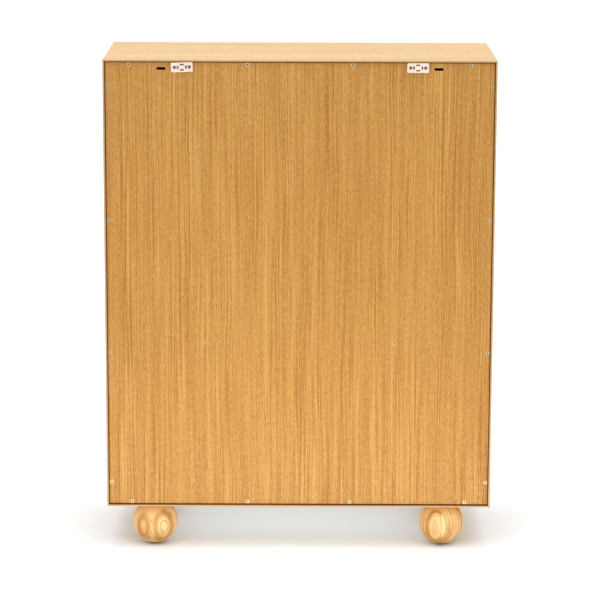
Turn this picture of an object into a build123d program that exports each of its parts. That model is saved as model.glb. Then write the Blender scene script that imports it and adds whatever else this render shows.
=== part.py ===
from build123d import *
import os
from math import cos, radians, sin, sqrt

# A small oak cabinet on ball feet: two doors above a fixed shelf, one deep drawer below it.
# Millimetres. X runs across the cabinet, the front faces -Y, +Z is up, and the floor is at Z = 0.
# Left and right are those of a person who stands in front of the cabinet.

# ---- Carcass ----
width = 850
carcass_height = 996
carcass_depth = 350
board = 19
corner_radius = 1.5
edge_ease = 1.0

# ---- Back panel, let into a rabbet ----
lip = 4
panel_gap = 2
panel_inset = 4.6
panel_thickness = 5
panel_screw_inset = 10.5
row_screw_outer = 369
row_screw_inner = 113.5
column_screw_end = 56
column_screw_count = 4
shelf_screw_x = 209

# ---- Strap slots and wall brackets ----
slot_length = 20
slot_height = 6
slot_x = 299
slot_drop = 19.2
slot_reach = 22
bracket_length = 46.6
bracket_height = 20.9
bracket_thickness = 4.4
bracket_corner = 1.8
bracket_ease = 0.6
bracket_x = 254
bracket_drop = 15.8
bracket_screw_x = 16
boss_radius = 5.2
boss_groove = 0.6
boss_groove_depth = 0.5
lying_slot_length = 8.8
lying_slot_height = 3.4
lying_slot_offset = 5.7
standing_slot_length = 7.4
standing_slot_height = 3.6
standing_slot_offset = 8.8
right_bracket_tilt = -2
left_bracket_tilt = 0

# ---- Shelves ----
fixed_shelf_height = 373
adjustable_shelf_depth = 300
adjustable_shelf_setback = 36
adjustable_shelf_gap = 1
pin_radius = 2.5
pin_clearance = 0.05
pin_hole_depth = 11
pin_in_hole = 10
pin_reach = 8
pin_row_pitch = 32
pin_row_holes = 5
pin_row_front = 70
pin_row_back = 290

# ---- Dowels ----
corner_dowel_radius = 3
corner_dowel_half_length = 10
corner_dowel_inset = 14
corner_dowel_end = 60
mitre_angle = 45
dowel_end_room = 1
shelf_dowel_radius = 4
shelf_dowel_length = 30
shelf_dowel_in_side = 11
dowel_clearance = 0.05

# ---- Ball feet ----
foot_radius = 50
foot_top_flat = 15
foot_bottom_flat = 13
foot_ease = 1.5
foot_side_inset = 104
foot_end_inset = 53
felt_radius = 12.5
felt_thickness = 2
bolt_radius = 4
bolt_in_foot = 30
bolt_in_nut = 11
bolt_hole_slack = 1
nut_radius = 6
nut_length = 13
nut_flange_radius = 9
nut_flange_thickness = 1.6
nut_bore_slack = 0.1

# ---- Doors and drawer front, set in flush with the carcass ----
hinge_gap = 2.6
front_gap = 2
door_meeting_gap = 2.4
front_ease = 1.0

# ---- Butt hinges ----
hinge_length = 50
hinge_end_inset = 80
leaf_thickness = 1.0
leaf_width = 14
leaf_setback = 0.8
knuckle_radius = 2.8
knuckle_offset = 3.0
knuckle_gap = 0.3
knuckle_outer_length = 15.2
hinge_pin_radius = 1.2
hinge_pin_clearance = 0.05
hinge_pin_head_radius = 2.3
hinge_pin_head_height = 1.2
hinge_screw_offset = 16
hinge_screw_setback = 9

# ---- Knobs ----
knob_radius = 17
knob_base_radius = 8
door_knob_from_edge = 32
drawer_knob_x = 203

# ---- Magnetic catch ----
catch_length = 56
catch_depth = 15
catch_height = 13
catch_setback = 0.6
catch_end_radius = 4
magnet_length = 14
magnet_depth = 9
magnet_height = 7
magnet_x = 15
magnet_proud = 0.2
magnet_slack = 0.1
strike_length = 20
strike_height = 13
strike_thickness = 1
strike_recess = 0.9

# ---- Drawer ----
drawer_wall = 12
drawer_box_height = 236
drawer_box_depth = 300
drawer_box_lift = 38
drawer_bottom_thickness = 5
drawer_bottom_lift = 12
groove_depth = 6
groove_slack = 0.2
front_screw_x = 300
front_screw_z = 80

# ---- Telescopic slides ----
slide_length = 300
slide_width = 12.7
slide_height = 45
slide_sheet = 1.2
slide_bend_radius = 0.4
slide_setback = 3
slide_step = 3
outer_flange = 10
middle_web_offset = 2.4
middle_flange = 7.6
inner_flange = 7.0
slide_screw_y = 110

# ---- Screws: head radius, shank radius, length, arm of the cross recess, recess depth ----
pocket_clearance = 0.05
head_rim = 0.3
screw_tip = 4
recess_arm_ratio = 0.32
recess_core_ratio = 0.34
recess_taper = 12
panel_screw = dict(head=3.8, shank=1.75, length=20, recess=4.4, recess_depth=1.8)
bracket_screw = dict(head=3.6, shank=1.5, length=22, recess=3.8, recess_depth=1.5)
hinge_screw = dict(head=2.5, shank=1.25, length=12, recess=2.9, recess_depth=1.1)
slide_screw = dict(head=3.0, shank=1.6, length=11, recess=3.4, recess_depth=1.3)
door_knob_screw = dict(head=4.0, shank=2.0, length=35, recess=4.4, recess_depth=1.8)
drawer_knob_screw = dict(head=4.0, shank=2.0, length=47, recess=4.4, recess_depth=1.8)
drawer_front_screw = dict(head=3.8, shank=1.75, length=26, recess=4.4, recess_depth=1.8)

# ---- Places worked out from the dimensions above ----
knob_centre_reach = sqrt(knob_radius**2 - knob_base_radius**2)
front = (knob_centre_reach + knob_radius - carcass_depth) / 2
back = front + carcass_depth
foot_centre_height = felt_thickness + sqrt(foot_radius**2 - foot_bottom_flat**2)
bottom = foot_centre_height + sqrt(foot_radius**2 - foot_top_flat**2)
top = bottom + carcass_height
middle_z = (bottom + top) / 2
inside_x = width / 2 - board
panel_face = back - panel_inset
ledge = panel_face - panel_thickness
rabbet_depth = panel_inset + panel_thickness
shelf_z = bottom + fixed_shelf_height
inside_depth = ledge - front
foot_x = width / 2 - foot_side_inset

door_bottom = shelf_z + board / 2 + front_gap
door_top = top - board - front_gap
door_height = door_top - door_bottom
door_width = inside_x - hinge_gap - door_meeting_gap / 2
door_z = (door_bottom + door_top) / 2
hinge_x = inside_x - hinge_gap / 2
hinge_y = front - knuckle_offset
hinge_heights = [door_bottom + hinge_end_inset, door_top - hinge_end_inset]
knuckle_middle_length = hinge_length - 2 * (knuckle_outer_length + knuckle_gap)

drawer_front_bottom = bottom + board + front_gap
drawer_front_top = shelf_z - board / 2 - front_gap
drawer_front_height = drawer_front_top - drawer_front_bottom
drawer_front_z = (drawer_front_bottom + drawer_front_top) / 2
drawer_front_width = 2 * (inside_x - front_gap)
drawer_box_y = front + board
drawer_box_back = drawer_box_y + drawer_box_depth
drawer_box_bottom = bottom + board + drawer_box_lift
drawer_side_x = inside_x - slide_width
slide_z = drawer_box_bottom + drawer_box_height / 2
slide_y = front + board + slide_setback
catch_y = front + board + catch_setback
catch_z = top - board - catch_height / 2

# Turns that point a screw's head, which faces +Z as it is made, another way.
head_up = (0, 0, 0)
head_down = (180, 0, 0)
head_back = (-90, 0, 0)
head_right = (0, 90, 0)
head_left = (0, -90, 0)

back_plane = Plane(origin=(0, back, middle_z), x_dir=(1, 0, 0), z_dir=(0, -1, 0))
front_plane = Plane(origin=(0, front, middle_z), x_dir=(1, 0, 0), z_dir=(0, -1, 0))
panel_plane = back_plane.offset(panel_inset)
ledge_plane = back_plane.offset(rabbet_depth)

os.makedirs("parts", exist_ok=True)


def save(builder, name):
    """Label a finished piece and write it as a STEP file of the same name."""
    builder.part.label = name
    export_step(builder.part, f"parts/{name}.step")


def spots(points, turn=head_up):
    """Locations at the points, each turned the same way."""
    return [Location(point, turn) for point in points]


# ---- Fasteners ----


def screw_profile(head, shank, length, grow=0.0):
    """A countersunk screw's turned outline: its head's face at the origin, its point down -Z."""
    head_depth = head_rim + head - shank
    with BuildPart() as blank:
        with BuildSketch(Plane.XZ):
            with BuildLine():
                Polyline(
                    (0, 0),
                    (head + grow, 0),
                    (head + grow, -head_rim),
                    (shank + grow, -head_depth),
                    (shank + grow, -length + screw_tip),
                    (0.0, -length - grow),
                    close=True,
                )
            make_face()
        revolve(axis=Axis.Z)
    return blank.part


def screw(head, shank, length, recess, recess_depth):
    """A countersunk screw with a cross recess that is round at its middle."""
    with BuildPart() as body:
        add(screw_profile(head, shank, length))
        with BuildSketch():
            Rectangle(recess, recess * recess_arm_ratio)
            Rectangle(recess * recess_arm_ratio, recess)
            Circle(recess * recess_core_ratio)
        extrude(amount=-recess_depth, taper=recess_taper, mode=Mode.SUBTRACT)
    return body.part


def drill(size, places):
    """Cut the pocket of each screw out of the piece being built."""
    with Locations(*places):
        pocket = screw_profile(size["head"], size["shank"], size["length"], pocket_clearance)
        add(pocket, mode=Mode.SUBTRACT)


def save_screws(size, places, name):
    """Write identical screws as one node of separate solids."""
    with BuildPart() as group:
        with Locations(*places):
            add(screw(**size))
    save(group, name)


def save_rods(radius, length, places, name, ease):
    """Write identical round rods, centred on their places and lying along local Z, as one node."""
    with BuildPart() as rod:
        Cylinder(radius, length)
        chamfer(rod.edges().filter_by(GeomType.CIRCLE), ease)
    with BuildPart() as group:
        with Locations(*places):
            add(rod.part)
    save(group, name)


def bore(radius, length, places):
    """Cut a round hole, centred on each place along local Z, out of the piece being built."""
    with Locations(*places):
        Cylinder(radius, length, mode=Mode.SUBTRACT)


# ---- Where the fasteners go ----

row_x = [-row_screw_outer, -row_screw_inner, row_screw_inner, row_screw_outer]
column_step = (carcass_height - 2 * column_screw_end) / (column_screw_count - 1)
column_z = [bottom + column_screw_end + step * column_step for step in range(column_screw_count)]
column_x = width / 2 - panel_screw_inset
top_row = [(x, panel_face, top - panel_screw_inset) for x in row_x]
bottom_row = [(x, panel_face, bottom + panel_screw_inset) for x in row_x]
side_columns = [(side * column_x, panel_face, z) for side in (-1, 1) for z in column_z]
shelf_row = [(side * shelf_screw_x, panel_face, shelf_z) for side in (-1, 1)]
panel_screw_spots = spots(top_row + bottom_row + side_columns + shelf_row, head_back)

bracket_z = top - bracket_drop
bracket_tilts = [(-1, left_bracket_tilt), (1, right_bracket_tilt)]
bracket_screw_points = [
    (
        side * bracket_x + end * bracket_screw_x * cos(radians(tilt)),
        panel_face + bracket_thickness,
        bracket_z + end * bracket_screw_x * sin(radians(tilt)),
    )
    for side, tilt in bracket_tilts
    for end in (-1, 1)
]
bracket_screw_spots = spots(bracket_screw_points, head_back)

dowel_y = [front + corner_dowel_end, front + carcass_depth / 2, back - corner_dowel_end]
corner_dowel_spots = [
    Location(
        (
            side * (width / 2 - corner_dowel_inset),
            y,
            middle_z + level * (carcass_height / 2 - corner_dowel_inset),
        ),
        (0, -side * level * mitre_angle, 0),
    )
    for side in (-1, 1)
    for level in (-1, 1)
    for y in dowel_y
]
corner_hole_radius = corner_dowel_radius + dowel_clearance
corner_hole_length = 2 * corner_dowel_half_length + dowel_end_room
shelf_hole_radius = shelf_dowel_radius + dowel_clearance
shelf_hole_length = shelf_dowel_length + dowel_end_room
shelf_dowel_x = inside_x + shelf_dowel_in_side - shelf_dowel_length / 2
shelf_dowel_y = [dowel_y[0], dowel_y[-1]]
shelf_dowel_points = [(side * shelf_dowel_x, y, shelf_z) for side in (-1, 1) for y in shelf_dowel_y]
shelf_dowel_spots = spots(shelf_dowel_points, head_right)

foot_spots = {
    "front_left_foot": (-foot_x, front + foot_end_inset),
    "front_right_foot": (foot_x, front + foot_end_inset),
    "back_left_foot": (-foot_x, back - foot_end_inset),
    "back_right_foot": (foot_x, back - foot_end_inset),
}

hinge_screw_y = hinge_y + hinge_screw_setback
hinge_screw_heights = [z + end * hinge_screw_offset for z in hinge_heights for end in (-1, 1)]
slide_screw_points_y = [slide_y + slide_length / 2 + end * slide_screw_y for end in (-1, 1)]
pin_rows = [front + pin_row_front, front + pin_row_back]
adjustable_shelf_z = (shelf_z + top) / 2
pin_hole_heights = [
    adjustable_shelf_z - board / 2 - pin_radius + (hole - pin_row_holes // 2) * pin_row_pitch
    for hole in range(pin_row_holes)
]
catch_screw_point = (0, catch_y + catch_depth / 2, catch_z - catch_height / 2)
catch_screw_spots = spots([catch_screw_point], head_down)


# ---- Carcass boards ----


def mitred_board(corners):
    """The part of the eased, rabbeted carcass block that lies between two mitre planes."""
    with BuildPart() as panel:
        with BuildSketch(back_plane):
            RectangleRounded(width, carcass_height, corner_radius)
        extrude(amount=carcass_depth)
        ends = panel.faces().filter_by(Axis.Y)
        fillet(ends.edges(), edge_ease)
        with BuildSketch(back_plane):
            Polygon(*corners, align=None)
        extrude(amount=carcass_depth, mode=Mode.INTERSECT)
        with BuildSketch(back_plane):
            Rectangle(width - 2 * lip, carcass_height - 2 * lip)
        extrude(amount=rabbet_depth, mode=Mode.SUBTRACT)
    return panel.part


outer_x = width / 2
outer_z = carcass_height / 2
inside_z = carcass_height / 2 - board
upper_corners = [(-outer_x, outer_z), (-inside_x, inside_z), (inside_x, inside_z), (outer_x, outer_z)]
lower_corners = [(x, -z) for x, z in upper_corners[::-1]]

with BuildPart() as top_board:
    add(mitred_board(upper_corners))
    with BuildSketch(ledge_plane):
        with Locations((-slot_x, outer_z - slot_drop), (slot_x, outer_z - slot_drop)):
            SlotOverall(slot_length, slot_height)
    extrude(amount=slot_reach, mode=Mode.SUBTRACT)
    drill(panel_screw, panel_screw_spots)
    drill(bracket_screw, bracket_screw_spots)
    bore(corner_hole_radius, corner_hole_length, corner_dowel_spots)
    drill(hinge_screw, catch_screw_spots)
save(top_board, "top_board")

with BuildPart() as bottom_board:
    add(mitred_board(lower_corners))
    drill(panel_screw, panel_screw_spots)
    bore(corner_hole_radius, corner_hole_length, corner_dowel_spots)
    with Locations(*[(x, y, bottom) for x, y in foot_spots.values()]):
        Cylinder(
            nut_radius + dowel_clearance,
            nut_length + nut_bore_slack,
            align=(Align.CENTER, Align.CENTER, Align.MIN),
            mode=Mode.SUBTRACT,
        )
        Cylinder(
            nut_flange_radius + dowel_clearance,
            nut_flange_thickness,
            align=(Align.CENTER, Align.CENTER, Align.MIN),
            mode=Mode.SUBTRACT,
        )
save(bottom_board, "bottom_board")


def save_side_board(side, name):
    """A mitred side with its dowel, shelf pin, hinge and slide holes. side is -1 for left, 1 for right."""
    inward = head_left if side > 0 else head_right
    corners = [(-outer_x, -outer_z), (-inside_x, -inside_z), (-inside_x, inside_z), (-outer_x, outer_z)]
    turned = [(-side * x, z) for x, z in corners]
    with BuildPart() as side_board:
        add(mitred_board(turned[::-side]))
        drill(panel_screw, panel_screw_spots)
        bore(corner_hole_radius, corner_hole_length, corner_dowel_spots)
        bore(shelf_hole_radius, shelf_hole_length, shelf_dowel_spots)
        holes = [(side * inside_x, y, z) for y in pin_rows for z in pin_hole_heights]
        bore(pin_radius + pin_clearance, 2 * pin_hole_depth, spots(holes, head_right))
        leaf_face = side * (inside_x - leaf_thickness)
        drill(hinge_screw, spots([(leaf_face, hinge_screw_y, z) for z in hinge_screw_heights], inward))
        web_face = side * (inside_x - slide_sheet)
        drill(slide_screw, spots([(web_face, y, slide_z) for y in slide_screw_points_y], inward))
    save(side_board, name)


save_side_board(-1, "left_side_board")
save_side_board(1, "right_side_board")

with BuildPart() as fixed_shelf:
    with BuildSketch(front_plane):
        with Locations((0, shelf_z - middle_z)):
            Rectangle(2 * inside_x, board)
    extrude(amount=-inside_depth)
    fillet(fixed_shelf.faces().sort_by(Axis.Y)[0].edges().filter_by(Axis.X), edge_ease)
    drill(panel_screw, panel_screw_spots)
    bore(shelf_hole_radius, shelf_hole_length, shelf_dowel_spots)
save(fixed_shelf, "fixed_shelf")

with BuildPart() as back_panel:
    with BuildSketch(panel_plane):
        Rectangle(width - 2 * (lip + panel_gap), carcass_height - 2 * (lip + panel_gap))
        with Locations((-slot_x, outer_z - slot_drop), (slot_x, outer_z - slot_drop)):
            SlotOverall(slot_length, slot_height, mode=Mode.SUBTRACT)
    extrude(amount=panel_thickness)
    drill(panel_screw, panel_screw_spots)
    drill(bracket_screw, bracket_screw_spots)
save(back_panel, "back_panel")

save_screws(panel_screw, panel_screw_spots, "back_panel_screws")
save_rods(corner_dowel_radius, 2 * corner_dowel_half_length, corner_dowel_spots, "corner_dowels", edge_ease)
save_rods(shelf_dowel_radius, shelf_dowel_length, shelf_dowel_spots, "fixed_shelf_dowels", edge_ease)


# ---- Adjustable shelf on four pins ----

with BuildPart() as adjustable_shelf:
    with Locations((0, front + adjustable_shelf_setback + adjustable_shelf_depth / 2, adjustable_shelf_z)):
        Box(2 * (inside_x - adjustable_shelf_gap), adjustable_shelf_depth, board)
    fillet(adjustable_shelf.faces().sort_by(Axis.Y)[0].edges().filter_by(Axis.X), edge_ease)
save(adjustable_shelf, "adjustable_shelf")

with BuildPart() as shelf_pins:
    for side, turn in ((-1, head_right), (1, head_left)):
        points = [(side * inside_x, y, adjustable_shelf_z - board / 2 - pin_radius) for y in pin_rows]
        with Locations(*spots(points, turn)):
            Cylinder(pin_radius, pin_reach, align=(Align.CENTER, Align.CENTER, Align.MIN))
            Cylinder(pin_radius, pin_in_hole, align=(Align.CENTER, Align.CENTER, Align.MAX))
save(shelf_pins, "shelf_pins")


# ---- Wall brackets ----


def save_bracket(side, tilt, name):
    """A plastic plate with four strap slots and two countersunk screws, turned by tilt degrees."""
    centre = (side * bracket_x, panel_face, bracket_z)
    plate = Plane(origin=centre, x_dir=(cos(radians(tilt)), 0, sin(radians(tilt))), z_dir=(0, 1, 0))
    with BuildPart() as bracket:
        with BuildSketch(plate):
            RectangleRounded(bracket_length, bracket_height, bracket_corner)
        extrude(amount=bracket_thickness)
        fillet(bracket.faces().sort_by(Axis.Y)[-1].edges(), bracket_ease)
        with BuildSketch(plate):
            with Locations((0, -lying_slot_offset), (0, lying_slot_offset)):
                RectangleRounded(lying_slot_length, lying_slot_height, bracket_ease)
            with Locations((-standing_slot_offset, 0), (standing_slot_offset, 0)):
                RectangleRounded(standing_slot_height, standing_slot_length, bracket_ease)
        extrude(amount=bracket_thickness, mode=Mode.SUBTRACT)
        with BuildSketch(plate.offset(bracket_thickness)):
            with Locations((-bracket_screw_x, 0), (bracket_screw_x, 0)):
                Circle(boss_radius)
                Circle(boss_radius - boss_groove, mode=Mode.SUBTRACT)
        extrude(amount=-boss_groove_depth, mode=Mode.SUBTRACT)
        drill(bracket_screw, bracket_screw_spots)
    save(bracket, name)


save_bracket(-1, left_bracket_tilt, "left_wall_bracket")
save_bracket(1, right_bracket_tilt, "right_wall_bracket")
save_screws(bracket_screw, bracket_screw_spots, "wall_bracket_screws")


# ---- Ball feet ----


def save_foot(x, y, name):
    """A turned ball, flat where it meets the cabinet and its felt pad, drilled for its bolt."""
    with BuildPart() as foot:
        with Locations((x, y, foot_centre_height)):
            Sphere(foot_radius)
        split(bisect_by=Plane.XY.offset(bottom), keep=Keep.BOTTOM)
        split(bisect_by=Plane.XY.offset(felt_thickness), keep=Keep.TOP)
        fillet(foot.faces().sort_by(Axis.Z)[0].edges(), foot_ease)
        with Locations((x, y, bottom)):
            Cylinder(
                bolt_radius + dowel_clearance,
                bolt_in_foot + bolt_hole_slack,
                align=(Align.CENTER, Align.CENTER, Align.MAX),
                mode=Mode.SUBTRACT,
            )
    save(foot, name)


for foot_name, (foot_place_x, foot_place_y) in foot_spots.items():
    save_foot(foot_place_x, foot_place_y, foot_name)

with BuildPart() as foot_hanger_bolts:
    with Locations(*[(x, y, bottom + bolt_in_nut) for x, y in foot_spots.values()]):
        Cylinder(bolt_radius, bolt_in_foot + bolt_in_nut, align=(Align.CENTER, Align.CENTER, Align.MAX))
    chamfer(foot_hanger_bolts.edges().filter_by(GeomType.CIRCLE), edge_ease)
save(foot_hanger_bolts, "foot_hanger_bolts")

with BuildPart() as foot_insert_nuts:
    with Locations(*[(x, y, bottom) for x, y in foot_spots.values()]):
        Cylinder(nut_radius, nut_length, align=(Align.CENTER, Align.CENTER, Align.MIN))
        Cylinder(nut_flange_radius, nut_flange_thickness, align=(Align.CENTER, Align.CENTER, Align.MIN))
        Cylinder(
            bolt_radius + nut_bore_slack,
            nut_length,
            align=(Align.CENTER, Align.CENTER, Align.MIN),
            mode=Mode.SUBTRACT,
        )
save(foot_insert_nuts, "foot_insert_nuts")

with BuildPart() as foot_felt_pads:
    with Locations(*[(x, y, 0) for x, y in foot_spots.values()]):
        Cylinder(felt_radius, felt_thickness, align=(Align.CENTER, Align.CENTER, Align.MIN))
save(foot_felt_pads, "foot_felt_pads")


# ---- Doors, with their hinges, knobs and catch ----


def hinge_leaf(side, on_door):
    """One leaf of a butt hinge, centred on the hinge's height, with its share of the knuckles."""
    offset = (leaf_thickness + hinge_gap) / 2 - leaf_thickness
    leaf_x = side * (offset if not on_door else -offset)
    middle = (knuckle_middle_length / 2, 0)
    outer = (knuckle_outer_length / 2, hinge_length / 2 - knuckle_outer_length / 2)
    half_length, level = middle if on_door else outer
    levels = [level] if on_door else [-level, level]
    plate_start = knuckle_offset + leaf_setback
    with BuildPart() as leaf:
        with Locations((leaf_x, plate_start + leaf_width / 2, 0)):
            Box(leaf_thickness, leaf_width, hinge_length)
        for z in levels:
            with Locations((leaf_x, plate_start / 2, z)):
                Box(leaf_thickness, plate_start, 2 * half_length)
            with Locations((0, 0, z)):
                Cylinder(knuckle_radius, 2 * half_length)
        Cylinder(hinge_pin_radius + hinge_pin_clearance, hinge_length, mode=Mode.SUBTRACT)
    return leaf.part


def save_hinge_leaves(side, on_door, name):
    """The upper and lower leaves on one side of one door's hinges, as one node."""
    face_x = side * (inside_x - (hinge_gap - leaf_thickness if on_door else leaf_thickness))
    turn = head_right if (side > 0) == on_door else head_left
    with BuildPart() as leaves:
        with Locations(*[(side * hinge_x, hinge_y, z) for z in hinge_heights]):
            add(hinge_leaf(side, on_door))
        drill(hinge_screw, spots([(face_x, hinge_screw_y, z) for z in hinge_screw_heights], turn))
    save(leaves, name)


def save_knob(x, z, size, head_y, name):
    """A ball knob with a flat base, drilled for its screw."""
    with BuildPart() as knob:
        with Locations((x, front - knob_centre_reach, z)):
            Sphere(knob_radius)
        split(bisect_by=Plane.XZ.offset(-front), keep=Keep.TOP)
        drill(size, spots([(x, head_y, z)], head_back))
    save(knob, name)


def save_door(side, word):
    """One door with everything that is fixed to it. side is -1 for left, 1 for right."""
    outward = head_right if side > 0 else head_left
    inner_face = front + board
    knob_x = side * (door_meeting_gap / 2 + door_knob_from_edge)
    edge_x = side * (inside_x - hinge_gap + leaf_thickness)
    hinge_screws = spots([(edge_x, hinge_screw_y, z) for z in hinge_screw_heights], outward)
    strike_x = side * magnet_x
    strike_screw = spots([(strike_x, inner_face + strike_thickness - strike_recess, catch_z)], head_back)
    knob_place = spots([(knob_x, inner_face, door_z)], head_back)
    with BuildPart() as door:
        with Locations((side * (door_meeting_gap + door_width) / 2, front + board / 2, door_z)):
            Box(door_width, board, door_height)
        fillet(door.faces().sort_by(Axis.Y)[0].edges(), front_ease)
        drill(hinge_screw, hinge_screws + strike_screw)
        drill(door_knob_screw, knob_place)
        with Locations((strike_x, inner_face - strike_recess, catch_z)):
            Box(
                strike_length + 2 * dowel_clearance,
                strike_recess,
                strike_height + 2 * dowel_clearance,
                align=(Align.CENTER, Align.MIN, Align.CENTER),
                mode=Mode.SUBTRACT,
            )
    save(door, f"{word}_door")
    save_hinge_leaves(side, True, f"{word}_hinge_door_leaves")
    save_hinge_leaves(side, False, f"{word}_hinge_frame_leaves")
    save_screws(hinge_screw, hinge_screws + strike_screw, f"{word}_door_screws")
    save_knob(knob_x, door_z, door_knob_screw, inner_face, f"{word}_door_knob")
    save_screws(door_knob_screw, knob_place, f"{word}_door_knob_screw")
    with BuildPart() as strike:
        with Locations((strike_x, inner_face - strike_recess, catch_z)):
            Box(
                strike_length,
                strike_thickness,
                strike_height,
                align=(Align.CENTER, Align.MIN, Align.CENTER),
            )
        drill(hinge_screw, strike_screw)
    save(strike, f"{word}_strike_plate")


save_door(-1, "left")
save_door(1, "right")

with BuildPart() as hinge_pins:
    for side in (-1, 1):
        with Locations(*[(side * hinge_x, hinge_y, z) for z in hinge_heights]):
            Cylinder(hinge_pin_radius, hinge_length)
            with Locations((0, 0, -hinge_length / 2 - hinge_pin_head_height / 2)):
                Cylinder(hinge_pin_head_radius, hinge_pin_head_height)
            with Locations((0, 0, hinge_length / 2 + hinge_pin_head_height / 2)):
                Cylinder(hinge_pin_head_radius, hinge_pin_head_height)
save(hinge_pins, "hinge_pins")

frame_leaf_x = inside_x - leaf_thickness
frame_screw_spots = spots([(-frame_leaf_x, hinge_screw_y, z) for z in hinge_screw_heights], head_right)
frame_screw_spots += spots([(frame_leaf_x, hinge_screw_y, z) for z in hinge_screw_heights], head_left)
save_screws(hinge_screw, frame_screw_spots, "hinge_frame_screws")

with BuildPart() as catch_case:
    with Locations((0, catch_y + catch_depth / 2, catch_z)):
        Box(catch_length, catch_depth, catch_height)
    fillet(catch_case.faces().sort_by(Axis.Y)[-1].edges().filter_by(Axis.Z), catch_end_radius)
    for side in (-1, 1):
        with Locations((side * magnet_x, catch_y, catch_z)):
            Box(
                magnet_length + magnet_slack,
                magnet_depth + magnet_slack,
                magnet_height + magnet_slack,
                align=(Align.CENTER, Align.MIN, Align.CENTER),
                mode=Mode.SUBTRACT,
            )
    drill(hinge_screw, catch_screw_spots)
save(catch_case, "catch_case")

with BuildPart() as catch_magnets:
    with Locations(*[(side * magnet_x, catch_y - magnet_proud, catch_z) for side in (-1, 1)]):
        Box(magnet_length, magnet_depth, magnet_height, align=(Align.CENTER, Align.MIN, Align.CENTER))
save(catch_magnets, "catch_magnets")
save_screws(hinge_screw, catch_screw_spots, "catch_screw")


# ---- Telescopic slides: three nested channels on each side of the drawer ----


def save_channel(side, web_x, flange, height, opening, name, screws=None):
    """A sheet channel along Y. web_x is its web's outer face, and it opens towards opening * X."""
    web = side * web_x
    with BuildPart() as channel:
        with BuildSketch(Plane.XZ.offset(-slide_y)):
            with Locations((web + opening * flange / 2, slide_z)):
                Rectangle(flange, height)
            with Locations((web + opening * (flange + slide_sheet) / 2, slide_z)):
                Rectangle(flange - slide_sheet, height - 2 * slide_sheet, mode=Mode.SUBTRACT)
        extrude(amount=-slide_length)
        fillet(channel.edges().filter_by(Axis.Y), slide_bend_radius)
        if screws:
            drill(slide_screw, screws)
    save(channel, name)


def slide_screw_spots(side, face_x, turn):
    """The two screws of one slide member."""
    return spots([(side * face_x, y, slide_z) for y in slide_screw_points_y], turn)


cabinet_slide_screws = []
drawer_slide_screws = []
for side, word in ((-1, "left"), (1, "right")):
    towards_cabinet = head_left if side > 0 else head_right
    towards_drawer = head_right if side > 0 else head_left
    on_cabinet = slide_screw_spots(side, inside_x - slide_sheet, towards_cabinet)
    on_drawer = slide_screw_spots(side, drawer_side_x + slide_sheet, towards_drawer)
    cabinet_slide_screws += on_cabinet
    drawer_slide_screws += on_drawer
    middle_height = slide_height - 2 * slide_step
    inner_height = middle_height - 2 * slide_step
    middle_web_x = inside_x - slide_sheet - middle_web_offset
    member = f"{word}_slide"
    save_channel(side, inside_x, outer_flange, slide_height, -side, f"{member}_outer_member", on_cabinet)
    save_channel(side, middle_web_x, middle_flange, middle_height, -side, f"{member}_middle_member")
    save_channel(side, drawer_side_x, inner_flange, inner_height, side, f"{member}_inner_member", on_drawer)
save_screws(slide_screw, cabinet_slide_screws, "slide_cabinet_screws")
save_screws(slide_screw, drawer_slide_screws, "slide_drawer_screws")


# ---- Drawer ----

inner_front_face = drawer_box_y + drawer_wall
drawer_knob_points = [(side * drawer_knob_x, inner_front_face, drawer_front_z) for side in (-1, 1)]
drawer_knob_spots = spots(drawer_knob_points, head_back)
front_screw_points = [
    (x, inner_front_face, slide_z + z)
    for x in (-front_screw_x, 0, front_screw_x)
    for z in (-front_screw_z, front_screw_z)
]
front_screw_spots = spots(front_screw_points, head_back)
drawer_inside_x = drawer_side_x - drawer_wall
bottom_panel_x = drawer_inside_x + groove_depth - groove_slack
bottom_panel_front = drawer_box_y + drawer_wall - groove_depth + groove_slack
bottom_panel_back = drawer_box_back - drawer_wall + groove_depth - groove_slack
bottom_panel_z = drawer_box_bottom + drawer_bottom_lift + drawer_bottom_thickness / 2


def cut_groove():
    """Cut the drawer bottom's groove out of the wall being built."""
    with Locations((0, (bottom_panel_front + bottom_panel_back) / 2, bottom_panel_z + groove_slack / 2)):
        Box(
            2 * (drawer_inside_x + groove_depth),
            bottom_panel_back - bottom_panel_front + 2 * groove_slack,
            drawer_bottom_thickness + groove_slack,
            mode=Mode.SUBTRACT,
        )


with BuildPart() as drawer_front:
    with Locations((0, front + board / 2, drawer_front_z)):
        Box(drawer_front_width, board, drawer_front_height)
    fillet(drawer_front.faces().sort_by(Axis.Y)[0].edges(), front_ease)
    drill(drawer_knob_screw, drawer_knob_spots)
    drill(drawer_front_screw, front_screw_spots)
save(drawer_front, "drawer_front")


def save_end_wall(y, name, fastened):
    """The drawer's inner front or back, standing between the two sides."""
    with BuildPart() as wall:
        with Locations((0, y + drawer_wall / 2, slide_z)):
            Box(2 * drawer_inside_x, drawer_wall, drawer_box_height)
        cut_groove()
        if fastened:
            drill(drawer_knob_screw, drawer_knob_spots)
            drill(drawer_front_screw, front_screw_spots)
    save(wall, name)


save_end_wall(drawer_box_y, "drawer_inner_front", True)
save_end_wall(drawer_box_back - drawer_wall, "drawer_back", False)

for side, word in ((-1, "left"), (1, "right")):
    wall_x = side * (drawer_side_x - drawer_wall / 2)
    with BuildPart() as drawer_side:
        with Locations((wall_x, drawer_box_y + drawer_box_depth / 2, slide_z)):
            Box(drawer_wall, drawer_box_depth, drawer_box_height)
        fillet(drawer_side.faces().sort_by(Axis.Z)[-1].edges().filter_by(Axis.Y), edge_ease)
        cut_groove()
        drill(slide_screw, drawer_slide_screws)
    save(drawer_side, f"drawer_{word}_side")
    knob_x = side * drawer_knob_x
    save_knob(knob_x, drawer_front_z, drawer_knob_screw, inner_front_face, f"drawer_{word}_knob")

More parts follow.
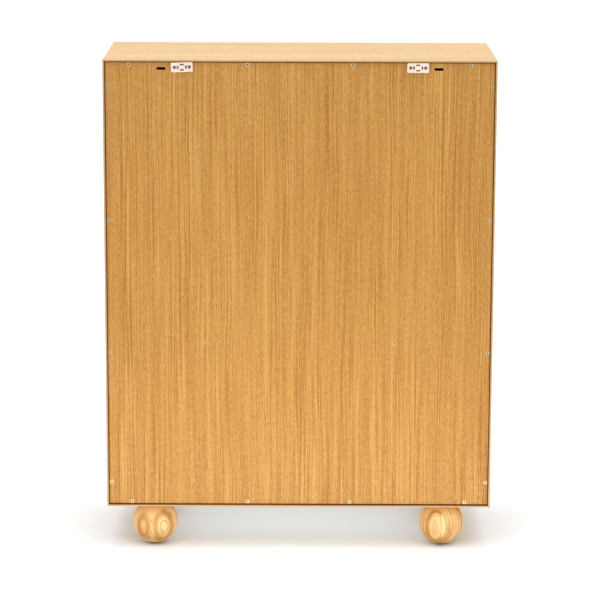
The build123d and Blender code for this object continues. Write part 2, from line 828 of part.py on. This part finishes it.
with BuildPart() as drawer_bottom:
    with Locations((0, (bottom_panel_front + bottom_panel_back) / 2, bottom_panel_z)):
        Box(2 * bottom_panel_x, bottom_panel_back - bottom_panel_front, drawer_bottom_thickness)
save(drawer_bottom, "drawer_bottom")
save_screws(drawer_knob_screw, drawer_knob_spots, "drawer_knob_screws")
save_screws(drawer_front_screw, front_screw_spots, "drawer_front_screws")
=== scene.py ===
from math import radians

import bpy
from mathutils import Matrix, Vector


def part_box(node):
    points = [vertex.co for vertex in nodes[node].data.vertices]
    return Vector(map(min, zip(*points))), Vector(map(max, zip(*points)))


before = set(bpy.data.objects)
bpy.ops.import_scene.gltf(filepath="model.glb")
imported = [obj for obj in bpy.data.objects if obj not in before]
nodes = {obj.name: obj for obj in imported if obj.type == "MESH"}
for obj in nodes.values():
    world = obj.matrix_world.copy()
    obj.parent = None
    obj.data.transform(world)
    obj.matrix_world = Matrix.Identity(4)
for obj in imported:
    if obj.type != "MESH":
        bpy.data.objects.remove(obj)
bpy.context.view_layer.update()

# Metres, in the model's frame: the back of the cabinet faces +Y, +Z is up and the floor is at Z = 0.
mm = 0.001

# ---- Places and sizes, read from the frame ----
carcass_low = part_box("bottom_board")[0]
carcass_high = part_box("top_board")[1]
carcass_middle = (carcass_low + carcass_high) / 2
half_width = carcass_high.x
half_height = (carcass_high.z - carcass_low.z) / 2
back_face = carcass_high.y
panel_low, panel_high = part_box("back_panel")
lip_width = carcass_high.x - panel_high.x


# ---- Node building ----


def linear(red, green, blue):
    """A screen colour, 0 to 255 for each channel, as the linear colour that a shader takes."""
    channels = [value / 255 for value in (red, green, blue)]
    straight = [c / 12.92 if c <= 0.04045 else ((c + 0.055) / 1.055) ** 2.4 for c in channels]
    return (*straight, 1.0)


class Recipe:
    """One material while its nodes are being joined. Each method gives back an output to use next."""

    def __init__(self, name):
        self.material = bpy.data.materials.new(name)
        self.material.use_nodes = True
        self.tree = self.material.node_tree
        self.shader = self.tree.nodes["Principled BSDF"]
        coordinates = self.tree.nodes.new("ShaderNodeTexCoord")
        self.position = coordinates.outputs["Object"]
        self.facing = coordinates.outputs["Normal"]

    def feed(self, socket, value):
        if isinstance(value, bpy.types.NodeSocket):
            self.tree.links.new(value, socket)
        else:
            socket.default_value = value

    def math(self, operation, *values):
        node = self.tree.nodes.new("ShaderNodeMath")
        node.operation = operation
        for socket, value in zip(node.inputs, values):
            self.feed(socket, value)
        return node.outputs[0]

    def add(self, first, *others):
        total = first
        for other in others:
            total = self.math("ADD", total, other)
        return total

    def times(self, first, second):
        return self.math("MULTIPLY", first, second)

    def split(self, vector):
        node = self.tree.nodes.new("ShaderNodeSeparateXYZ")
        self.feed(node.inputs[0], vector)
        return node.outputs[0], node.outputs[1], node.outputs[2]

    def join(self, x, y, z):
        node = self.tree.nodes.new("ShaderNodeCombineXYZ")
        for socket, value in zip(node.inputs, (x, y, z)):
            self.feed(socket, value)
        return node.outputs[0]

    def ramp(self, value, low, high, start=0.0, end=1.0):
        """Start up to low, end from high on, and a smooth change between them."""
        node = self.tree.nodes.new("ShaderNodeMapRange")
        node.interpolation_type = "SMOOTHSTEP"
        for socket, given in zip(node.inputs, (value, low, high, start, end)):
            self.feed(socket, given)
        return node.outputs[0]

    def mix(self, share, first, second, kind="MIX"):
        """The first colour where the share is 0, the second where it is 1."""
        node = self.tree.nodes.new("ShaderNodeMix")
        node.data_type = "RGBA"
        node.blend_type = kind
        self.feed(node.inputs["Factor"], share)
        self.feed(node.inputs[6], first)
        self.feed(node.inputs[7], second)
        return node.outputs[2]

    def noise(self, vector, scale=1.0, detail=2.0, roughness=0.5, distortion=0.0):
        node = self.tree.nodes.new("ShaderNodeTexNoise")
        self.feed(node.inputs["Vector"], vector)
        node.inputs["Scale"].default_value = scale
        node.inputs["Detail"].default_value = detail
        node.inputs["Roughness"].default_value = roughness
        node.inputs["Distortion"].default_value = distortion
        return node.outputs[0]

    def finish(self, colour, roughness, height=None, depth=0.1 * mm, plain=()):
        """Join the colour, the roughness and a bump to the shader and set its plain values."""
        self.feed(self.shader.inputs["Base Color"], colour)
        self.feed(self.shader.inputs["Roughness"], roughness)
        if height is not None:
            bump = self.tree.nodes.new("ShaderNodeBump")
            bump.inputs["Distance"].default_value = depth
            self.feed(bump.inputs["Height"], height)
            self.tree.links.new(bump.outputs[0], self.shader.inputs["Normal"])
        for label, value in plain:
            self.shader.inputs[label].default_value = value
        return self.material


# ---- Wood ----

lacquer = [("Specular IOR Level", 0.4)]
oiled = [("Specular IOR Level", 0.35)]
sway_reach = 20 * mm
grain_order = {"x": (1, 2, 0), "y": (2, 0, 1), "z": (0, 1, 2)}


def grain_space(recipe, along, start=(0, 0, 0)):
    """The position with its last value along the grain, moved so that each board has its own figure."""
    parts = recipe.split(recipe.position)
    first, second, third = [parts[index] for index in grain_order[along]]
    return recipe.add(first, start[0]), recipe.add(second, start[1]), recipe.add(third, start[2])


def straight_grain(recipe, across, through, length, figure=1.0):
    """How pale the veneer is, from 0 to 1, and how far each point is an open pore."""
    slow_place = recipe.join(recipe.times(across, 5), recipe.times(through, 5), recipe.times(length, 2.5))
    sway = recipe.noise(slow_place)
    bent = recipe.add(across, recipe.times(recipe.add(sway, -0.5), sway_reach))

    def streaks(per_metre_across, per_metre_along, detail=2.0):
        stretched = recipe.join(
            recipe.times(bent, per_metre_across),
            recipe.times(through, per_metre_across),
            recipe.times(length, per_metre_along),
        )
        return recipe.add(recipe.noise(stretched, detail=detail), -0.5)

    bands = streaks(18, 1.2)
    stripes = streaks(80, 3)
    clusters = recipe.ramp(streaks(34, 2.2), -0.12, 0.14, 0.4, 1.2)
    wide_lines = recipe.times(streaks(200, 2), 0.6)
    fine_lines = recipe.times(streaks(420, 4), 1.6)
    lines = recipe.times(recipe.add(wide_lines, fine_lines), clusters)
    dashes = streaks(600, 130)
    pale = recipe.add(
        0.5,
        recipe.times(bands, 0.2 * figure),
        recipe.times(stripes, 0.2 * figure),
        recipe.times(lines, 1.0 * figure),
        recipe.times(dashes, 1.2 * figure),
    )
    pores = recipe.ramp(recipe.add(streaks(1300, 75, 1.0), recipe.times(stripes, -0.3)), 0.1, 0.2)
    return pale, pores


def veneer(name, along, pale_colour, dark_colour, start=(0, 0, 0), figure=1.0, edge_colour=None):
    """Satin lacquered oak veneer. Faces that look forwards or back take the edge band's colour."""
    recipe = Recipe(name)
    across, through, length = grain_space(recipe, along, start)
    pale, pores = straight_grain(recipe, across, through, length, figure)
    share = recipe.ramp(pale, 0.0, 1.0)
    colour = recipe.mix(share, dark_colour, pale_colour)
    if edge_colour:
        facing_back = recipe.split(recipe.facing)[1]
        on_edge = recipe.ramp(recipe.math("ABSOLUTE", facing_back), 0.6, 0.8)
        band = recipe.mix(share, recipe.mix(0.3, edge_colour, dark_colour), edge_colour)
        colour = recipe.mix(on_edge, colour, band)
    colour = recipe.mix(recipe.times(pores, 0.3), colour, dark_colour, "MULTIPLY")
    roughness = recipe.ramp(pale, 0.0, 1.0, 0.44, 0.36)
    return recipe, colour, roughness, recipe.math("SUBTRACT", recipe.times(pale, 0.4), pores)


def plain_veneer(name, *choices, **more):
    """A veneer with nothing else painted on it."""
    recipe, colour, roughness, height = veneer(name, *choices, **more)
    return recipe.finish(colour, roughness, height, plain=lacquer)


def carcass_veneer(name, along, start):
    """The carcass boards: veneer, edge bands, the dark line of each mitre, and the bare rabbet, whose wood
    colour is darkened into painted shade.
    """
    recipe, colour, roughness, height = veneer(
        name, along, linear(232, 197, 140), linear(200, 152, 80), start, 0.9, linear(184, 146, 104)
    )
    x, y, z = recipe.split(recipe.position)
    from_side = recipe.math("SUBTRACT", half_width, recipe.math("ABSOLUTE", x))
    off_middle = recipe.math("ABSOLUTE", recipe.add(z, -carcass_middle.z))
    from_end = recipe.math("SUBTRACT", half_height, off_middle)
    off_mitre = recipe.math("ABSOLUTE", recipe.math("SUBTRACT", from_side, from_end))
    joint = recipe.ramp(off_mitre, 0.2 * mm, 0.8 * mm, 0.75, 0.0)
    colour = recipe.mix(joint, colour, linear(74, 44, 20))
    # Painted shade: inside the rabbet, behind the lip, the colour turns dark brown, partly as bare board and
    # partly as the shade of the narrow groove.
    inside_lip = recipe.math("MINIMUM", from_side, from_end)
    rabbet_wood_and_painted_shade = recipe.times(
        recipe.ramp(inside_lip, lip_width - 2.6 * mm, lip_width - 2.2 * mm),
        recipe.ramp(y, panel_low.y - 0.5 * mm, panel_low.y),
    )
    colour = recipe.mix(rabbet_wood_and_painted_shade, colour, linear(132, 80, 22))
    return recipe.finish(colour, roughness, height, plain=lacquer)


def solid_wood(name, centre, hearts, rings, glue_line=None, shift=0.0):
    """Turned ash with growth rings about leaning hearts.

    A heart is its x and y from the piece's centre and what to add to the distance from it. A ring is its
    distance, its width and its strength. All are in millimetres but the strength. Without a glue line the
    rings of two hearts run into each other, and with one the second heart's wood starts at that x. The
    shift picks which rings are pale."""
    recipe = Recipe(name)
    x, y, z = [recipe.add(part, -middle) for part, middle in zip(recipe.split(recipe.position), centre)]

    def stretched_noise(across, along, detail=2.0):
        parts = (recipe.times(x, across), recipe.times(y, across), recipe.times(z, along))
        return recipe.noise(recipe.join(*parts), detail=detail)

    wander = recipe.times(recipe.add(stretched_noise(38, 15), -0.5), 7 * mm)
    lean = recipe.times(z, 0.06)

    def distance(heart_x, heart_y, more):
        outward = 1.0 if heart_y > 0 else -1.0
        away_x = recipe.add(x, -heart_x * mm)
        away_y = recipe.add(y, -heart_y * mm, recipe.times(lean, -outward))
        squares = recipe.add(recipe.times(away_x, away_x), recipe.times(away_y, away_y))
        return recipe.add(recipe.math("SQRT", squares), wander, more * mm)

    reach = distance(*hearts[0])
    for heart in hearts[1:]:
        if glue_line is None:
            reach = recipe.math("SMOOTH_MIN", reach, distance(*heart), 3 * mm)
        else:
            past_line = recipe.ramp(x, (glue_line - 0.3) * mm, (glue_line + 0.3) * mm)
            step = recipe.math("SUBTRACT", distance(*heart), reach)
            reach = recipe.add(reach, recipe.times(step, past_line))
    late = 0.0
    for place, width, strength in rings:
        off_ring = recipe.math("ABSOLUTE", recipe.add(reach, -place * mm))
        ring = recipe.ramp(off_ring, 0.1 * width * mm, width * mm, strength, 0.0)
        late = recipe.math("MAXIMUM", late, ring)
    fine_rings = recipe.noise(recipe.join(recipe.times(reach, 420), shift, recipe.times(z, 3)), detail=2.0)
    broad_rings = recipe.noise(recipe.join(recipe.times(reach, 110), shift, recipe.times(z, 3)), detail=1.0)
    fibre = stretched_noise(900, 60, 1.0)
    specks = recipe.ramp(stretched_noise(420, 170, 1.0), 0.66, 0.74)
    pores = recipe.times(specks, recipe.ramp(broad_rings, 0.45, 0.6))
    pale = linear(244, 206, 144)
    warm = linear(198, 138, 64)
    brown = linear(150, 80, 24)
    tone = recipe.add(broad_rings, recipe.times(recipe.add(stretched_noise(34, 16), -0.5), 0.5))
    colour = recipe.mix(recipe.ramp(tone, 0.32, 0.6), warm, pale)
    colour = recipe.mix(recipe.ramp(fine_rings, 0.5, 0.75, 0.0, 0.35), colour, warm)
    colour = recipe.mix(recipe.ramp(fibre, 0.45, 0.75, 0.0, 0.2), colour, warm)
    colour = recipe.mix(late, colour, brown)
    colour = recipe.mix(recipe.times(pores, 0.6), colour, brown)
    roughness = recipe.ramp(fibre, 0.2, 0.8, 0.5, 0.62)
    return recipe.finish(colour, roughness, recipe.times(pores, -1.0), plain=oiled)


def plywood(name, along, ply_axis, ply_start, ply=1.7 * mm):
    """Clear lacquered birch plywood: fine-grained faces, and edges layered across the ply axis."""
    recipe = Recipe(name)
    across, through, length = grain_space(recipe, along, (0.3, 0.7, 0.1))
    pale, pores = straight_grain(recipe, across, through, length, 0.5)
    face = recipe.mix(recipe.ramp(pale, 0.0, 1.0), linear(214, 182, 136), linear(238, 214, 174))
    axis = "xyz".index(ply_axis)
    depth = recipe.add(recipe.split(recipe.position)[axis], -ply_start)
    layer = recipe.math("PINGPONG", depth, ply)
    grained = recipe.noise(recipe.position, 500, 2.0)
    unevenness = recipe.times(recipe.add(grained, -0.5), 0.5)
    tone = recipe.add(recipe.ramp(layer, 0.45 * ply, 0.55 * ply), unevenness)
    edge = recipe.mix(tone, linear(176, 132, 84), linear(226, 196, 150))
    on_face = recipe.ramp(recipe.math("ABSOLUTE", recipe.split(recipe.facing)[axis]), 0.6, 0.8)
    colour = recipe.mix(on_face, edge, face)
    return recipe.finish(colour, recipe.ramp(pale, 0.0, 1.0, 0.55, 0.45), recipe.times(pores, -1.0))


# ---- Metal, plastic and felt ----


def metal(name, colour, roughness, speckle=0.08, brushed=None, recess_from=None):
    """Plated steel with a slightly uneven plating. Where its Y is lower than recess_from it has painted
    shade, near black, in the head's recess.
    """
    recipe = Recipe(name)
    position = recipe.position
    if brushed:
        finer = [1.0 if axis == brushed else 40.0 for axis in "xyz"]
        parts = [recipe.times(part, factor) for part, factor in zip(recipe.split(position), finer)]
        position = recipe.join(*parts)
    grained = recipe.noise(position, 60 if brushed else 700, 3.0)
    cloud = recipe.noise(recipe.position, 90, 2.0)
    darker = tuple(0.72 * value for value in colour[:3]) + (1.0,)
    tint = recipe.mix(recipe.ramp(recipe.add(grained, recipe.times(cloud, 0.5)), 0.5, 1.0), darker, colour)
    # Painted shade: the recess of the screw head turns near black.
    if recess_from is not None:
        depth = recipe.math("SUBTRACT", recess_from, recipe.split(recipe.position)[1])
        tint = recipe.mix(recipe.ramp(depth, 0.0, 0.3 * mm), tint, linear(26, 18, 10))
    uneven = recipe.ramp(grained, 0.3, 0.7, roughness - speckle, roughness + speckle)
    return recipe.finish(tint, uneven, grained, 0.02 * mm, plain=[("Metallic", 1.0)])


def plastic(name, colour, shade, roughness):
    """Moulded plastic with a fine spark-eroded texture and a slow change of tone."""
    recipe = Recipe(name)
    fine = recipe.noise(recipe.position, 2600, 2.0)
    slow = recipe.noise(recipe.position, 70, 2.0)
    tint = recipe.mix(recipe.ramp(slow, 0.3, 0.7), shade, colour)
    uneven = recipe.ramp(fine, 0.3, 0.7, roughness - 0.06, roughness + 0.08)
    return recipe.finish(tint, uneven, fine, 0.03 * mm)


def ferrite():
    """Sintered magnet: near black, with a fine grain."""
    recipe = Recipe("ferrite")
    grained = recipe.noise(recipe.position, 1500, 3.0)
    colour = recipe.mix(recipe.ramp(grained, 0.3, 0.7), linear(34, 34, 37), linear(58, 57, 60))
    return recipe.finish(colour, recipe.ramp(grained, 0.3, 0.7, 0.45, 0.65), grained, 0.05 * mm)


def felt():
    """Pressed wool felt: short crossed fibres with lighter flecks."""
    recipe = Recipe("felt")
    fibres = recipe.noise(recipe.position, 1700, 4.0, 0.7, 1.5)
    clumps = recipe.noise(recipe.position, 300, 2.0)
    mixed = recipe.ramp(recipe.add(fibres, recipe.times(clumps, 0.4)), 0.45, 0.95)
    colour = recipe.mix(mixed, linear(92, 78, 62), linear(150, 132, 110))
    return recipe.finish(colour, 0.95, fibres, 0.4 * mm, plain=[("Sheen Weight", 0.4)])


# ---- Which piece has which material ----


def paint(material, *names):
    """Put one material on whole nodes."""
    for name in names:
        slots = nodes[name].data.materials
        slots.clear()
        slots.append(material)


def centre_of(name):
    low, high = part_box(name)
    return (low + high) / 2


paint(carcass_veneer("top_veneer", "x", (0.2, 0.5, 0.3)), "top_board")
paint(carcass_veneer("bottom_veneer", "x", (1.2, 0.1, 0.9)), "bottom_board")
paint(carcass_veneer("left_side_veneer", "z", (2.2, 0.4, 0.2)), "left_side_board")
paint(carcass_veneer("right_side_veneer", "z", (3.1, 0.6, 0.7)), "right_side_board")
shelf_colours = (linear(238, 204, 150), linear(214, 166, 106))
paint(plain_veneer("fixed_shelf_veneer", "x", *shelf_colours, (0.4, 1.5, 2.3), 0.8), "fixed_shelf")
paint(plain_veneer("adjustable_shelf_veneer", "x", *shelf_colours, (0.9, 2.5, 1.3), 0.8), "adjustable_shelf")
paint(
    plain_veneer("back_panel_veneer", "z", linear(197, 148, 72), linear(156, 98, 10), (0.0, 0.0, 0.0), 0.9),
    "back_panel",
)
paint(
    plain_veneer("front_veneer", "z", linear(240, 196, 132), linear(206, 146, 78), (4.0, 0.0, 0.0), 1.0),
    "left_door",
    "right_door",
    "drawer_front",
)

twin_rings = [(0.6, 0.8, 0.6), (6.6, 0.8, 0.6), (9, 0.8, 0.7), (11.3, 0.9, 0.85), (14, 0.8, 0.5)]
twin_rings += [(16.5, 0.8, 0.7), (19, 0.8, 0.5), (22.5, 1.1, 0.6), (28, 1.0, 0.5), (34, 1.4, 0.55)]
single_rings = [(-1, 0.6, 0.5), (0.7, 0.6, 0.5), (2.6, 0.7, 0.4), (5, 0.7, 0.5), (8, 0.8, 0.4)]
single_rings += [(13, 0.8, 0.5), (20, 1.2, 0.65), (24, 0.9, 0.55), (29, 1.2, 0.5), (33, 1.4, 0.7)]
single_rings += [(38, 0.9, 0.45), (44, 1.5, 0.6), (50, 1.0, 0.5), (57, 1.4, 0.5)]
# For each foot: its hearts, its rings, where its glue line is and its shift.
foot_wood = {
    "back_right_foot": ([(31.6, 53.4, -8.3), (-35, 72, -31)], twin_rings, None, 4.7),
    "back_left_foot": ([(-148, -103, -150), (19.4, 55.2, -10)], single_rings, 1.6, 7.9),
    "front_left_foot": ([(-24, -56, -12), (40, -68, -29)], twin_rings, None, 2.5),
    "front_right_foot": ([(-22, -56, -11), (120, -130, -130)], single_rings, -3, 5.5),
}
for foot, (hearts, rings, glue_line, shift) in foot_wood.items():
    paint(solid_wood(foot + "_wood", centre_of(foot), hearts, rings, glue_line, shift), foot)
knob_rings = [(1, 0.4, 0.4), (2.6, 0.4, 0.5), (5, 0.5, 0.5), (8.4, 0.5, 0.4), (11, 0.5, 0.6)]
knob_rings += [(15, 0.6, 0.5), (19, 0.6, 0.5)]
knob_wood = {
    "left_door_knob": (-9, -22, -7),
    "right_door_knob": (12, -21, -8),
    "drawer_left_knob": (5, -24, -8),
    "drawer_right_knob": (-14, -20, -8),
}
for knob, heart in knob_wood.items():
    paint(solid_wood(knob + "_wood", centre_of(knob), [heart], knob_rings), knob)

for wall in ("drawer_left_side", "drawer_right_side"):
    paint(plywood(wall + "_ply", "y", "x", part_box(wall)[0].x), wall)
for wall in ("drawer_inner_front", "drawer_back"):
    paint(plywood(wall + "_ply", "x", "y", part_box(wall)[0].y), wall)
paint(plywood("drawer_bottom_ply", "x", "z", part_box("drawer_bottom")[0].z), "drawer_bottom")
paint(
    plain_veneer("beech", "x", linear(230, 196, 150), linear(206, 160, 108), (5.0, 0.0, 0.0), 0.8),
    "corner_dowels",
    "fixed_shelf_dowels",
)

nickel = linear(214, 202, 164)
zinc = linear(214, 216, 220)
bracket_nickel = linear(150, 138, 128)
bracket_screw_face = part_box("wall_bracket_screws")[1].y
# The panel screws and the bracket screws have painted shade, near black, in their head recesses.
paint(metal("panel_screw_nickel", nickel, 0.38, recess_from=panel_high.y), "back_panel_screws")
paint(
    metal("bracket_screw_nickel", bracket_nickel, 0.38, recess_from=bracket_screw_face),
    "wall_bracket_screws",
)
paint(
    metal("screw_nickel", nickel, 0.32),
    "catch_screw",
    "hinge_frame_screws",
    "slide_cabinet_screws",
    "slide_drawer_screws",
    "left_door_screws",
    "right_door_screws",
    "left_door_knob_screw",
    "right_door_knob_screw",
    "drawer_knob_screws",
    "drawer_front_screws",
)
paint(
    metal("hinge_nickel", linear(214, 208, 196), 0.34, brushed="z"),
    "left_hinge_frame_leaves",
    "right_hinge_frame_leaves",
    "left_hinge_door_leaves",
    "right_hinge_door_leaves",
    "hinge_pins",
    "left_strike_plate",
    "right_strike_plate",
)
paint(
    metal("slide_zinc", zinc, 0.36, brushed="y"),
    "left_slide_outer_member",
    "right_slide_outer_member",
    "left_slide_middle_member",
    "right_slide_middle_member",
    "left_slide_inner_member",
    "right_slide_inner_member",
)
paint(metal("rod_zinc", zinc, 0.3), "foot_hanger_bolts", "foot_insert_nuts", "shelf_pins")
paint(
    plastic("white_plastic", linear(228, 213, 196), linear(218, 203, 186), 0.42),
    "left_wall_bracket",
    "right_wall_bracket",
)
paint(plastic("catch_plastic", linear(232, 229, 222), linear(220, 216, 208), 0.48), "catch_case")
paint(ferrite(), "catch_magnets")
paint(felt(), "foot_felt_pads")


# ---- Floor, light and camera ----


def make_floor():
    """A plain pale floor, large enough to fill every view."""
    reach = 60.0
    mesh = bpy.data.meshes.new("floor")
    corners = [(-reach, -reach, 0), (reach, -reach, 0), (reach, reach, 0), (-reach, reach, 0)]
    mesh.from_pydata(corners, [], [(0, 1, 2, 3)])
    floor = bpy.data.objects.new("floor", mesh)
    bpy.context.scene.collection.objects.link(floor)
    recipe = Recipe("floor")
    cloud = recipe.noise(recipe.position, 1.5, 2.0)
    colour = recipe.mix(recipe.ramp(cloud, 0.3, 0.7), (0.85, 0.89, 0.93, 1.0), (0.87, 0.91, 0.95, 1.0))
    mesh.materials.append(recipe.finish(colour, 0.9))


def soft_box(name, place, aim, size, power, colour=(1.0, 1.0, 1.0)):
    """A square light at a place, turned to shine on its aim."""
    light = bpy.data.lights.new(name, "AREA")
    light.shape = "RECTANGLE"
    light.size, light.size_y = size
    light.energy = power
    light.color = colour
    lamp = bpy.data.objects.new(name, light)
    lamp.location = place
    lamp.rotation_euler = (Vector(aim) - Vector(place)).to_track_quat("-Z", "Y").to_euler()
    lamp.visible_camera = False
    bpy.context.scene.collection.objects.link(lamp)


def make_light():
    """An even white room, a sun from above, and three soft lights: one that lies on the floor and shines
    up before the back, one like it before the front, and a weak blue one that shines down from under the
    carcass."""
    world = bpy.data.worlds.new("room")
    world.use_nodes = True
    world.node_tree.nodes["Background"].inputs["Color"].default_value = (1.0, 1.0, 1.0, 1.0)
    world.node_tree.nodes["Background"].inputs["Strength"].default_value = 0.9
    bpy.context.scene.world = world
    clear = 5 * mm
    floor_light_size = (1.4, 0.7)
    floor_light_watts = 5.5
    gap = 0.45
    for word, side in (("back", 1), ("front", -1)):
        y = side * (back_face + gap)
        soft_box(word + "_floor_light", (0, y, clear), (0, y, 1.0), floor_light_size, floor_light_watts)
    under_size = (0.6, 0.24)
    under_watts = 0.32
    pale_blue = (0.56, 0.78, 1.0)
    soft_box("under_light", (0, 0, carcass_low.z - clear), (0, 0, 0), under_size, under_watts, pale_blue)
    sun = bpy.data.lights.new("sun", "SUN")
    sun.energy = 1.6
    sun.angle = radians(60)
    lamp = bpy.data.objects.new("sun", sun)
    lamp.rotation_euler = (radians(-18), 0, 0)
    bpy.context.scene.collection.objects.link(lamp)


def make_camera():
    """Behind the cabinet and above it, looking down a little with a long lens."""
    distance = 5.586
    height = 1.754
    aside = -1.6 * mm
    tilt = 11.46
    roll = 0.21
    data = bpy.data.cameras.new("camera")
    data.sensor_width = 36.0
    data.lens = 156.66
    data.shift_y = -0.04
    data.clip_end = 200.0
    camera = bpy.data.objects.new("camera", data)
    turn = Matrix.Rotation(radians(180), 4, "Z")
    turn @= Matrix.Rotation(radians(90 - tilt), 4, "X")
    turn @= Matrix.Rotation(radians(roll), 4, "Z")
    camera.matrix_world = Matrix.Translation((aside, back_face + distance, height)) @ turn
    bpy.context.scene.collection.objects.link(camera)
    bpy.context.scene.camera = camera


make_floor()
make_light()
make_camera()
bpy.context.scene.view_settings.view_transform = "Standard"
